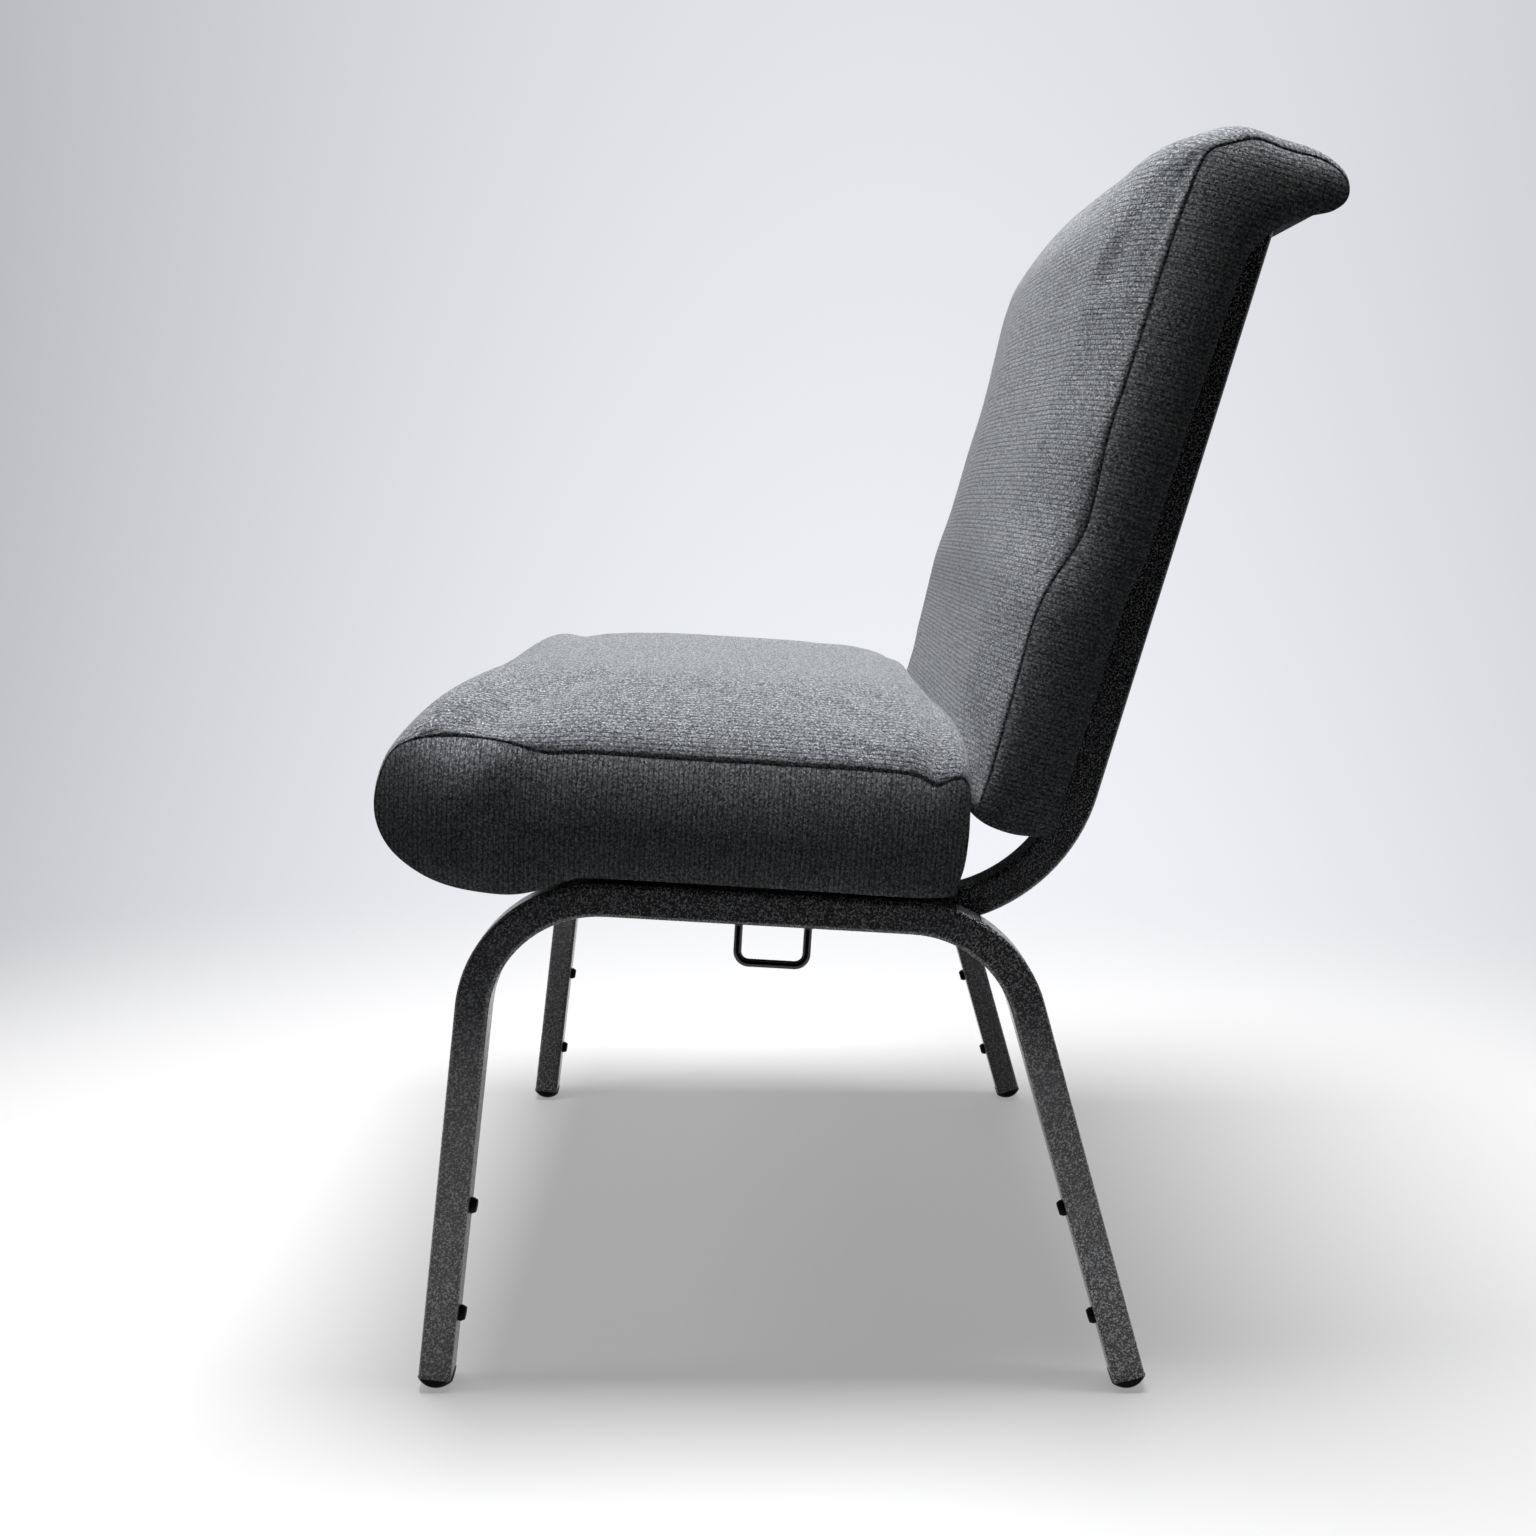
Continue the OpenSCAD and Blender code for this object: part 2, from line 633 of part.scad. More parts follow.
module seat_cushion() {
    rows = [
        for (r = smooth_loop(seat_outline_shares, outline_steps))
            [seat_station(r[0]), rim_z + r[1] * seat_side_h, r[2] * seat_crown, r[3] * seat_crown]
    ];
    color("#4b4d51") difference() {
        on_rail() skin(cushion_rings(rows, seat_w / 2, seat_sections));
        seat_plate(board_front, rim_z, board_t);
        seat_plate(cover_front, rim_z - dust_cover_t - overrun, board_t);
    }
}

module back_board() {
    length = back_board_top - back_board_bottom;
    color("#b98d5a") difference() {
        on_back() translate([0, -half_tube, (back_board_top + back_board_bottom) / 2])
            rotate([90, 0, 0]) linear_extrude(board_t)
            rounded_plate(2 * back_board_half_w, length, board_corner_r);
        at_back_bolts() translate([0, 0, board_t]) t_nut_hole();
    }
}

module rear_panel() {
    length = panel_top - back_board_bottom;
    color("#4b4d51") on_back() translate([0, -half_tube, (panel_top + back_board_bottom) / 2])
        rotate([-90, 0, 0]) linear_extrude(rear_panel_t)
        rounded_plate(2 * panel_half_w, length, panel_edge_r);
}

// Bolts whose heads sit inside the back tubes, put in through wider holes in the tubes' rear walls
module back_bolts() {
    color("#2a2b2d") at_back_bolts() translate([0, 0, -tube_wall]) bolt(tube_wall + board_t - overrun);
}

module back_t_nuts() {
    color("#9a9ca0") at_back_bolts() translate([0, 0, board_t]) t_nut();
}

// Block in the frame of the back between two heights and two depths, both measured square to the tube
module back_block(half_w, y0, y1, z0, z1) {
    translate([-half_w, y0, z0]) cube([2 * half_w, y1 - y0, z1 - z0]);
}

module back_cushion() {
    rows = [
        for (r = smooth_loop(back_outline_shares, outline_steps))
            [-half_tube - r[1] * back_side_t, back_bottom + r[0] * back_h,
                -r[3] * back_crown, r[2] * back_crown]
    ];
    pocket_w = back_board_half_w + soft_gap;
    slot = half_tube + soft_gap;
    color("#4b4d51") difference() {
        on_back() skin(cushion_rings(rows, back_w / 2, back_sections));
        on_back() {
            back_block(pocket_w, -half_tube - board_t, back_side_t, 0, panel_top + soft_gap);
            back_block(pocket_w, -half_tube - board_t, -half_tube, 0, back_board_top + soft_gap);
            back_block(back_tube_inner, -slot, slot, back_tube_top - tube - soft_gap,
                back_tube_top + soft_gap);
            for (side = [-1, 1]) {
                translate([side * back_tube_x, 0, 0])
                    back_block(slot, -slot, slot, 0, back_tube_top + soft_gap);
            }
        }
    }
}

leg_frame(1);  // leg_frame_right
leg_frame(-1);  // leg_frame_left
back_tube(1);  // back_tube_right
back_tube(-1);  // back_tube_left
seat_cross_tube(front_cross_at);  // front_cross_tube
seat_cross_tube(rear_cross_at);  // rear_cross_tube
top_cross_tube();
tube_end_plugs();
ganging_loop();
ganging_hook();
foot(1, true);  // foot_front_right
foot(-1, true);  // foot_front_left
foot(1, false);  // foot_rear_right
foot(-1, false);  // foot_rear_left
bumpers(1, true);  // bumpers_front_right
bumpers(-1, true);  // bumpers_front_left
bumpers(1, false);  // bumpers_rear_right
bumpers(-1, false);  // bumpers_rear_left
seat_board();
seat_cushion();
dust_cover();
seat_bolts();
seat_t_nuts();
back_board();
back_cushion();
rear_panel();
back_bolts();
back_t_nuts();
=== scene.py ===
import json
import math

import bmesh
import bpy
from mathutils import Matrix, Vector
from mathutils.kdtree import KDTree


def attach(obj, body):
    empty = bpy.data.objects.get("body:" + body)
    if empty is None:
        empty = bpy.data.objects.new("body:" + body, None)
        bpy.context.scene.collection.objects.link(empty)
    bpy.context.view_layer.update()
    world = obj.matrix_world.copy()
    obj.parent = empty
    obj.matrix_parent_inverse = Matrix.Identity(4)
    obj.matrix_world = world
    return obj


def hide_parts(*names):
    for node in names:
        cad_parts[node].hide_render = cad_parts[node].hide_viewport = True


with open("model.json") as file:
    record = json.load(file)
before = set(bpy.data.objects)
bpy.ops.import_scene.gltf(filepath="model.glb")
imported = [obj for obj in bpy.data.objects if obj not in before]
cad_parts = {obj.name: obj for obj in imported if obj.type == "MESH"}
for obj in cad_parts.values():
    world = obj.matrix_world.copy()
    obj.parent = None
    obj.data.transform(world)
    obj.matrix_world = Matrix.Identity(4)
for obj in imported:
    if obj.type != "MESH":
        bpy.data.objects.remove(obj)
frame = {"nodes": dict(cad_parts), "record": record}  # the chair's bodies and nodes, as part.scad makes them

mm = 0.001
scene = bpy.context.scene
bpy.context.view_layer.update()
body = "root"  # the frame is welded and its cushions are bolted on, so all of it is one body

place = {  # where the seat and the back stand, in millimetres and degrees, as in part.scad
    "middle": 9.125,
    "railFront": (-239, 365),
    "railFall": 3.4,
    "backCorner": (137.842, 342.61),
    "backLean": 14.8,
    "tube": 23,
}


def leaningFrame(corner, lean):
    spot = Matrix.Translation(Vector((place["middle"], *corner)) * mm)
    return spot @ Matrix.Rotation(math.radians(-lean), 4, "X") @ Matrix.Scale(mm, 4)


railPlace = leaningFrame(place["railFront"], place["railFall"])
backPlace = leaningFrame(place["backCorner"], place["backLean"])


view = {"spot": (1.1648, -0.0498, 0.6091), "tilt": 10.12, "lens": 32.58, "nearest": 0.05}

camera = bpy.data.objects.new("camera", bpy.data.cameras.new("camera"))
camera.location = view["spot"]
camera.rotation_euler = (math.radians(90 - view["tilt"]), 0, math.radians(90))
camera.data.lens = view["lens"]
camera.data.clip_start = view["nearest"]
scene.collection.objects.link(camera)
scene.camera = camera
print("camera placed")


def colour(code):
    # sRGB hex to the linear numbers that shaders take
    parts = [int(code[i:i + 2], 16) / 255 for i in (1, 3, 5)]
    return [c / 12.92 if c <= 0.04045 else ((c + 0.055) / 1.055) ** 2.4 for c in parts] + [1]


def addNode(tree, kind, settings=None, links=None):
    # a node with its settings, and its inputs set to values or joined to other nodes' outputs
    made = tree.nodes.new(kind)
    for name, value in (settings or {}).items():
        setattr(made, name, value)
    for name, value in (links or {}).items():
        if isinstance(value, bpy.types.NodeSocket):
            tree.links.new(value, made.inputs[name])
        else:
            made.inputs[name].default_value = value
    return made


def newMaterial(name, values):
    # values that are the same all over the surface go on the shader's own sockets
    material = bpy.data.materials.new(name)
    material.use_nodes = True
    shader = material.node_tree.nodes["Principled BSDF"]
    for socket, value in values.items():
        shader.inputs[socket].default_value = value
    return material, material.node_tree, shader


weave = {  # millimetres: the stitches that the photograph shows, and the courses that they stand in
    "stitch": 1.3, "row": 1.16, "gap": 0.13, "course": 3.3, "relief": 0.5, "drift": 1.6,
    # the colour between stitches is painted shade in the gaps between them, where the bump sinks
    "yarnDark": "#5f6368", "yarnLight": "#d6d9de", "between": "#505358",
    # the level that the yarn colour drops to along the line between courses is painted shade in the groove
    # between them
    "courseShadeLevel": 0.45, "melange": (0.4, 1.6),
}


def wovenFabric():
    # melange polyester, woven in courses of two greys: matt, grainy, with a soft sheen at a low angle
    material, tree, shader = newMaterial("woven_melange_polyester", {
        "Roughness": 0.9, "Sheen Weight": 0.25, "Sheen Roughness": 0.5, "Specular IOR Level": 0.2})
    cloth = addNode(tree, "ShaderNodeUVMap", {"uv_map": "weave"}).outputs["UV"]
    # no thread runs quite straight
    wander = addNode(tree, "ShaderNodeTexNoise", {"noise_dimensions": "2D"}, {
        "Vector": cloth, "Scale": 0.45 / (weave["stitch"] * mm), "Detail": 1.0})
    drift = weave["drift"] * mm
    pulled = addNode(tree, "ShaderNodeVectorMath", {"operation": "MULTIPLY_ADD"}, {
        0: wander.outputs["Color"], 1: (drift, drift, 0), 2: cloth}).outputs[0]
    # painted shade: the gaps between stitches, the mortar of this brick pattern, take the darker colour
    # between
    stitches = addNode(tree, "ShaderNodeTexBrick", {"offset": 0.5}, {
        "Vector": pulled, "Scale": 1 / mm, "Brick Width": weave["stitch"], "Row Height": weave["row"],
        "Mortar Size": weave["gap"], "Mortar Smooth": 1.0, "Color1": colour(weave["yarnDark"]),
        "Color2": colour(weave["yarnLight"]), "Mortar": colour(weave["between"])})
    # painted shade: a dark line darkens the yarn colour in the grooves between courses; the wave repeats
    # every tau / 20 of its scale
    courses = addNode(tree, "ShaderNodeTexWave", {"bands_direction": "Y"}, {
        "Vector": pulled, "Scale": math.tau / (20 * weave["course"] * mm), "Distortion": 0.0})
    courseShade = addNode(tree, "ShaderNodeMapRange", links={
        "Value": courses.outputs["Fac"], "From Max": 0.33, "To Min": weave["courseShadeLevel"]})
    # the yarn itself is a mix of paler and darker fibres
    fibres = addNode(tree, "ShaderNodeTexNoise", {"noise_dimensions": "2D"}, {
        "Vector": cloth, "Scale": 0.9 / (weave["stitch"] * mm), "Detail": 3.0, "Roughness": 0.7})
    melange = addNode(tree, "ShaderNodeMapRange", links={
        "Value": fibres.outputs["Fac"], "From Min": 0.32, "From Max": 0.68,
        "To Min": weave["melange"][0], "To Max": weave["melange"][1]})
    # the painted shade of the course grooves times the fibres' tone sets the yarn colour's level, and also
    # the height of the bump
    level = addNode(tree, "ShaderNodeMath", {"operation": "MULTIPLY"}, {
        0: courseShade.outputs[0], 1: melange.outputs[0]})
    lit = addNode(tree, "ShaderNodeVectorMath", {"operation": "SCALE"}, {
        0: stitches.outputs["Color"], "Scale": level.outputs[0]})
    tree.links.new(lit.outputs[0], shader.inputs["Base Color"])
    hump = addNode(tree, "ShaderNodeMath", {"operation": "SUBTRACT"}, {
        0: level.outputs[0], 1: stitches.outputs["Fac"]})
    bump = addNode(tree, "ShaderNodeBump", links={
        "Height": hump.outputs[0], "Strength": 0.8, "Distance": weave["relief"] * mm})
    tree.links.new(bump.outputs["Normal"], shader.inputs["Normal"])
    return material


speckle = {  # millimetres: the flecks of the coat, where they start and end, and how rough each colour is
    "fleck": 0.75, "relief": 0.07, "veinFrom": 0.53, "veinTo": 0.575,
    "ground": "#0b0c0d", "silver": "#e4e6e9", "groundRough": 0.38, "silverRough": 0.27,
}


def veinedCoat():
    # black powder coat with silver flecks on welded steel tube: semi-gloss, grainy where it shines
    material, tree, shader = newMaterial("silver_vein_powder_coat", {
        "Specular IOR Level": 0.4, "Coat Weight": 0.4, "Coat Roughness": 0.12})
    spot = addNode(tree, "ShaderNodeTexCoord").outputs["Object"]
    veins = addNode(tree, "ShaderNodeTexNoise", links={
        "Vector": spot, "Scale": 0.6 / (speckle["fleck"] * mm), "Detail": 2.0, "Roughness": 0.65,
        "Distortion": 0.4}).outputs["Fac"]
    silver = addNode(tree, "ShaderNodeMapRange", links={
        "Value": veins, "From Min": speckle["veinFrom"], "From Max": speckle["veinTo"]}).outputs[0]
    mixed = addNode(tree, "ShaderNodeMix", {"data_type": "RGBA"}, {
        0: silver, 6: colour(speckle["ground"]), 7: colour(speckle["silver"])})
    tree.links.new(mixed.outputs[2], shader.inputs["Base Color"])
    rough = addNode(tree, "ShaderNodeMapRange", links={
        "Value": silver, "To Min": speckle["groundRough"], "To Max": speckle["silverRough"]})
    tree.links.new(rough.outputs[0], shader.inputs["Roughness"])
    bump = addNode(tree, "ShaderNodeBump", links={
        "Height": veins, "Strength": 0.6, "Distance": speckle["relief"] * mm})
    tree.links.new(bump.outputs["Normal"], shader.inputs["Normal"])
    return material


def grainyMaterial(name, base, other, size, roughness, relief, metallic=0.0, specular=0.5):
    # one finish in two near shades with a fine grain; size and relief in millimetres
    # grain under half a millimetre wouldn't show, so it is drawn that coarse
    material, tree, shader = newMaterial(name, {"Metallic": metallic, "Specular IOR Level": specular})
    spot = addNode(tree, "ShaderNodeTexCoord").outputs["Object"]
    fine = addNode(tree, "ShaderNodeTexNoise", links={
        "Vector": spot, "Scale": 0.5 / (size * mm), "Detail": 3.0}).outputs["Fac"]
    broad = addNode(tree, "ShaderNodeTexNoise", links={
        "Vector": spot, "Scale": 0.05 / (size * mm), "Detail": 2.0}).outputs["Fac"]
    share = addNode(tree, "ShaderNodeMath", {"operation": "MULTIPLY"}, {0: fine, 1: broad}).outputs[0]
    share = addNode(tree, "ShaderNodeMapRange", links={
        "Value": share, "From Min": 0.12, "From Max": 0.4}).outputs[0]
    mixed = addNode(tree, "ShaderNodeMix", {"data_type": "RGBA"}, {
        0: share, 6: colour(base), 7: colour(other)})
    tree.links.new(mixed.outputs[2], shader.inputs["Base Color"])
    rough = addNode(tree, "ShaderNodeMapRange", links={
        "Value": broad, "To Min": roughness - 0.08, "To Max": roughness + 0.08})
    tree.links.new(rough.outputs[0], shader.inputs["Roughness"])
    bump = addNode(tree, "ShaderNodeBump", links={
        "Height": fine, "Strength": 0.5, "Distance": relief * mm})
    tree.links.new(bump.outputs["Normal"], shader.inputs["Normal"])
    return material


fabric = wovenFabric()
finishes = {  # the finish of each material slot whose CAD nodes stay
    "frame": veinedCoat(),
    # gloss powder on bent rod: smooth and black
    "rod": grainyMaterial("gloss_black_powder_coat", "#0c0d0e", "#17181a", 1.6, 0.15, 0.03),
    # moulded nylon: dull black, faintly spark-eroded
    "plug": grainyMaterial("moulded_black_nylon", "#050506", "#0b0c0d", 0.5, 0.6, 0.05, 0.0, 0.1),
    # bare veneer: warm, matt, streaked
    "plywood": grainyMaterial("raw_plywood", "#a37c4e", "#caa779", 2.4, 0.7, 0.15),
    # bonded fibre sheet: flat black, slightly fuzzy
    "dust_cover": grainyMaterial("spunbonded_dust_cover", "#131314", "#242527", 0.8, 0.92, 0.12),
    # oxidised steel: dark, with an oily shine
    "bolt": grainyMaterial("black_oxide_steel", "#141516", "#26282a", 0.6, 0.38, 0.02, 0.9),
    # plated steel: pale and bright
    "nut": grainyMaterial("zinc_plated_steel", "#9a9da1", "#bcbfc3", 0.7, 0.35, 0.02, 1.0),
}
finishes["foot"] = finishes["bumper"] = finishes["plug"]
for part in frame["record"]["subparts"]:
    finish = finishes.get(part["material_slot"])
    if finish:
        node = frame["nodes"][part["node"]]
        node.data.materials.clear()
        node.data.materials.append(finish)
print("materials made")


def smoothPoint(a, b, c, d, t):
    # a curve through b and c that also looks at the points before and after them
    return (b * 2 + (c - a) * t + (a * 2 - b * 5 + c * 4 - d) * t * t
            + (b * 3 - a - c * 3 + d) * t * t * t) / 2


def smoothOutline(rows, marks, steps=16):
    # points of a smooth loop through the rows, at even distances between each two marked rows
    loop = []
    for i in range(len(rows)):
        near = [rows[(i + k) % len(rows)] for k in (-1, 0, 1, 2)]
        loop += [smoothPoint(*near, j / steps) for j in range(steps)]
    points = []
    for (start, count), (stop, _) in zip(marks, marks[1:] + marks[:1]):
        first = start * steps
        length = (stop * steps - first) % len(loop)
        stretch = [loop[(first + k) % len(loop)] for k in range(length + 1)]
        run = [0.0]
        for p, q in zip(stretch, stretch[1:]):
            run.append(run[-1] + (q - p).xy.length)
        k = 0
        for j in range(count):
            want = run[-1] * j / count
            while run[k + 1] < want:
                k += 1
            t = (want - run[k]) / (run[k + 1] - run[k])
            points.append(stretch[k].lerp(stretch[k + 1], t))
    return points


def sectionShares(count):
    # places of the sections across a cushion, closer together near its sides
    shares = [math.sin(math.pi / 2 * (k / count) ** 0.9) for k in range(count + 1)]
    return [-share for share in reversed(shares[1:])] + shares


def cushionShell(outline, shape, crownShare, sidePuff):
    # outline: the side's loop of long, short, long and short stretches. Rows hold y, z, crown y, crown z.
    bm = bmesh.new()
    uv = bm.loops.layers.uv.new("weave")
    half, count, total = shape["halfWidth"], shape["sections"], len(outline)
    run = [0.0]
    for p, q in zip(outline, outline[1:] + outline[:1]):
        run.append(run[-1] + (q - p).xy.length)
    sections = []
    for u in sectionShares(count):
        full = [crownShare(p, u) for p in outline]
        sections.append([Vector((u * half, p.x + p.z * f, p.y + p.w * f)) for p, f in zip(outline, full)])
    spread = [[0.0] * total]  # how far the cloth has come across, for each row of each section
    for near, far in zip(sections, sections[1:]):
        spread.append([s + (q - p).length for s, p, q in zip(spread[-1], near, far)])

    # the sleeve: a grid wrapped round the outline, whose first and last rows are merged below
    grid = bmesh.ops.create_grid(bm, x_segments=2 * count, y_segments=total, size=1)["verts"]
    spots = {v: (round((v.co.x + 1) * count), round((v.co.y + 1) / 2 * total)) for v in grid}
    for v in grid:
        k, row = spots[v]
        v.co = sections[k][row % total]
    for loop in (loop for face in bm.faces for loop in face.loops):
        k, row = spots[loop.vert]
        along = run[row] * mm
        width = 0.5 + (spread[k][row % total] - spread[count][row % total]) * mm
        loop[uv].uv = (along, width) if shape["turned"] else (width, along)
    for side in (-1, 1):
        addSidePanel(bm, outline, shape, side, sidePuff)
    bmesh.ops.remove_doubles(bm, verts=bm.verts[:], dist=0.01)
    bmesh.ops.recalc_face_normals(bm, faces=bm.faces[:])
    return bm


def addSidePanel(bm, outline, shape, side, sidePuff):
    # the boxed side: a grid stretched between the four stretches of the outline
    uv = bm.loops.layers.uv["weave"]
    long, short, total = shape["long"], shape["short"], len(outline)
    corners = outline[0], outline[long], outline[2 * long + short], outline[long + short]
    grid = bmesh.ops.create_grid(bm, x_segments=long, y_segments=short, size=1)["verts"]
    faces = dict.fromkeys(f for v in grid for f in v.link_faces)
    for v in grid:
        i = round((v.co.x + 1) / 2 * long)
        j = round((v.co.y + 1) / 2 * short)
        s, t = i / long, j / short
        low, high = outline[i], outline[2 * long + short - i]
        near, far = outline[(total - j) % total], outline[long + j]
        p = (low * (1 - t) + high * t + near * (1 - s) + far * s
             - corners[0] * (1 - s) * (1 - t) - corners[1] * s * (1 - t)
             - corners[2] * (1 - s) * t - corners[3] * s * t)
        v.co = Vector((side * (shape["halfWidth"] + sidePuff(s, t)), p.x, p.y))
    for loop in (loop for face in faces for loop in face.loops):
        along, up = 0.5 + loop.vert.co.y * mm, 0.5 + loop.vert.co.z * mm
        loop[uv].uv = (up, along) if shape["turned"] else (along, up)


foam = {  # what the cover's cloth is like, and how far it may swell over its foam, in metres
    "quality": 6, "mass": 0.3, "stiffness": 40.0, "shear": 40.0 / 3, "bending": 4.0,
    "pressure": 4.0, "moments": 20, "limit": 0.004,
}


def inflate(piece, held):
    # the cover swells over its foam; held vertices stay, and no point moves further than the limit
    group = piece.vertex_groups.new(name="held")
    group.add(held, 1.0, "REPLACE")
    before = [v.co.copy() for v in piece.data.vertices]
    cloth = piece.modifiers.new("cover", "CLOTH")
    cloth.settings.quality = foam["quality"]
    cloth.settings.mass = foam["mass"]
    cloth.settings.tension_stiffness = foam["stiffness"]
    cloth.settings.compression_stiffness = foam["stiffness"]
    cloth.settings.shear_stiffness = foam["shear"]
    cloth.settings.bending_stiffness = foam["bending"]
    cloth.settings.use_pressure = True
    cloth.settings.uniform_pressure_force = foam["pressure"]
    cloth.settings.vertex_group_mass = "held"
    cloth.settings.effector_weights.gravity = 0
    cloth.point_cache.frame_start = 1
    cloth.point_cache.frame_end = foam["moments"]
    for moment in range(1, foam["moments"] + 1):
        scene.frame_set(moment)
    evaluated = piece.evaluated_get(bpy.context.evaluated_depsgraph_get())
    after = [v.co.copy() for v in evaluated.data.vertices]
    piece.modifiers.remove(cloth)
    scene.frame_set(1)
    furthest = 0.0
    for v, old, new in zip(piece.data.vertices, before, after):
        move = new - old
        furthest = max(furthest, move.length)
        if move.length > foam["limit"]:
            move *= foam["limit"] / move.length
        v.co = old + move
    piece.vertex_groups.remove(group)
    print(f"{piece.name}: the cover swelled by up to {furthest * 1000:.1f} mm")


def pieceFrom(bm, name):
    mesh = bpy.data.meshes.new(name)
    bm.to_mesh(mesh)
    bm.free()
    piece = bpy.data.objects.new(name, mesh)
    scene.collection.objects.link(piece)
    return piece


def sewSeams(piece, isSeam, width, depth):
    # each marked edge becomes a narrow channel where two panels of the cover are sewn together
    bm = bmesh.new()
    bm.from_mesh(piece.data)
    seam = [e for e in bm.edges if isSeam(*(v.co for v in e.verts))]
    spots = [(v.co.copy(), v.normal.copy()) for v in dict.fromkeys(v for e in seam for v in e.verts)]
    bmesh.ops.bevel(bm, geom=seam, offset=width, offset_type="OFFSET", segments=2, profile=0.5,
                    affect="EDGES", material=-1)
    tree = KDTree(len(spots))
    for i, (co, _) in enumerate(spots):
        tree.insert(co, i)
    tree.balance()
    for v in bm.verts:
        _, i, distance = tree.find(v.co)
        if distance < width * 0.75:
            v.co -= spots[i][1] * depth
    bm.to_mesh(piece.data)
    bm.free()


def atSide(p, shape, reach):
    # whether a point of a cover is within reach, in millimetres, of the edge of a side panel
    return abs(abs(p.x) - shape["halfWidth"] * mm) < reach * mm


def finishCover(piece, node):
    piece.data.materials.clear()
    piece.data.materials.append(fabric)
    for face in piece.data.polygons:
        face.use_smooth = True
    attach(piece, body)
    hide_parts(node)


def sewnCover(name, node, bm, shape, where, isHeld, isSeam):
    # a shell in millimetres becomes a swelled and sewn cover that stands where its CAD node does
    bmesh.ops.scale(bm, vec=(mm, mm, mm), verts=bm.verts[:])
    piece = pieceFrom(bm, name)
    inflate(piece, [v.index for v in piece.data.vertices if isHeld(v.co)])
    sewSeams(piece, isSeam, shape["seamWidth"] * mm, shape["seamDepth"] * mm)
    piece.data.transform(where @ Matrix.Scale(1 / mm, 4))
    smooth = piece.modifiers.new("smooth", "SUBSURF")
    smooth.levels = smooth.render_levels = 1
    finishCover(piece, node)
    return piece


seat = {  # millimetres on the rail: see seat_outline_shares in part.scad
    "noseReach": 72, "frontBend": 80.8, "run": 318, "rim": 15.1, "sideHeight": 83, "crown": 45,
    "halfWidth": 263.5, "sections": 30, "long": 50, "short": 12, "turned": True,
    "seamWidth": 0.3, "seamDepth": 0.9, "rearFoot": 70, "bottomFrom": 60,
    "edge": 5.8, "noseEdge": 2.2, "noseFrom": 15, "noseOver": 20, "dipEdge": 3.4, "dipAt": 8, "dipSpread": 24,
    "puff": 5.0, "cheek": 8, "cheekAt": 0.84, "cheekRear": 0.035, "cheekFront": 0.12,
}
seatRows = [  # along the rail from -1, the nose, to 2, the rear; up the side; crown forward; crown up
    (1.93, 0, 0, 0), (1.45, 0, 0, 0), (0.94, 0, 0, 0), (0.7, -0.03, 0, 0), (0.48, -0.12, 0, 0),
    (0.25, -0.175, 0, 0), (0, -0.17, 0, -0.04), (-0.31, -0.13, -0.02, -0.05),
    (-0.58, -0.04, -0.05, -0.04), (-0.83, 0.12, -0.08, 0), (-0.97, 0.32, -0.1, 0.05),
    (-1, 0.54, -0.11, 0.08), (-0.93, 0.8, -0.12, 0.1), (-0.81, 0.97, -0.1, 0.16),
    (-0.57, 1.055, -0.08, 0.48), (-0.25, 1.08, -0.02, 0.71), (0.07, 1.07, 0, 0.74),
    (0.3, 1.025, 0, 0.86), (0.5, 0.98, 0, 0.95), (0.77, 1.005, 0, 0.94), (1.17, 1, 0, 0.97),
    (1.5, 1, 0, 0.96), (1.83, 0.985, 0, 0.94), (1.9, 0.89, 0, 0.95), (1.96, 0.995, 0.02, 0.74),
    (1.993, 0.9, 0.07, 0.56), (2, 0.45, 0.1, 0.16), (1.985, 0.13, 0.05, 0),
]


def seatStation(k):
    if k < 0:
        return k * seat["noseReach"]
    if k < 1:
        return k * seat["frontBend"]
    return seat["frontBend"] + (k - 1) * (seat["run"] - seat["frontBend"])


def seatCrown(p, u):
    # the crown is fullest across the nose, and rounds off to its sides in the dip behind the nose
    nose = min(1.0, max(0.0, (-p.x - seat["noseFrom"]) / seat["noseOver"]))
    dip = math.exp(-((p.x - seat["dipAt"]) / seat["dipSpread"]) ** 2)
    edge = seat["edge"] + seat["noseEdge"] * nose - seat["dipEdge"] * dip
    return math.sqrt(max(0.0, 1 - abs(u) ** edge))


def seatPuff(s, t):
    # s runs from the rear to the nose, t from the bottom to the top: the nose has a fuller cheek
    reach = seat["cheekRear"] if s < seat["cheekAt"] else seat["cheekFront"]
    cheek = seat["cheek"] * math.exp(-((s - seat["cheekAt"]) / reach) ** 2)
    return (1 - abs(2 * t - 1) ** 3) * (1 - abs(2 * s - 1) ** 7) * (seat["puff"] + cheek)


def buildSeat():
    rows = [Vector((seatStation(a), seat["rim"] + b * seat["sideHeight"], c * seat["crown"],
                    d * seat["crown"])) for a, b, c, d in seatRows]
    long, short = seat["long"], seat["short"]
    outline = smoothOutline(rows, [(0, long), (9, short), (13, long), (25, short)])
    bm = cushionShell(outline, seat, seatCrown, seatPuff)
    rim = (seat["rim"] + 1) * mm
    lowest = (seat["rim"] - 20) * mm
    rearTop = seatStation(1.97) * mm

    def isHeld(p):
        return p.z < rim or atSide(p, seat, 0.5)

    def isSeam(a, b):
        # round the side panel, but not down its rear end and not along the board
        if not all(atSide(p, seat, 0.02) and p.z > lowest for p in (a, b)):
            return False
        if max(a.y, b.y) > rearTop and min(a.z, b.z) < seat["rearFoot"] * mm:
            return False
        return min(a.y, b.y) <= seat["bottomFrom"] * mm or max(a.z, b.z) >= rim

    piece = sewnCover("seat_cushion_cover", "seat_cushion", bm, seat, railPlace, isHeld, isSeam)


buildSeat()
print("seat made")

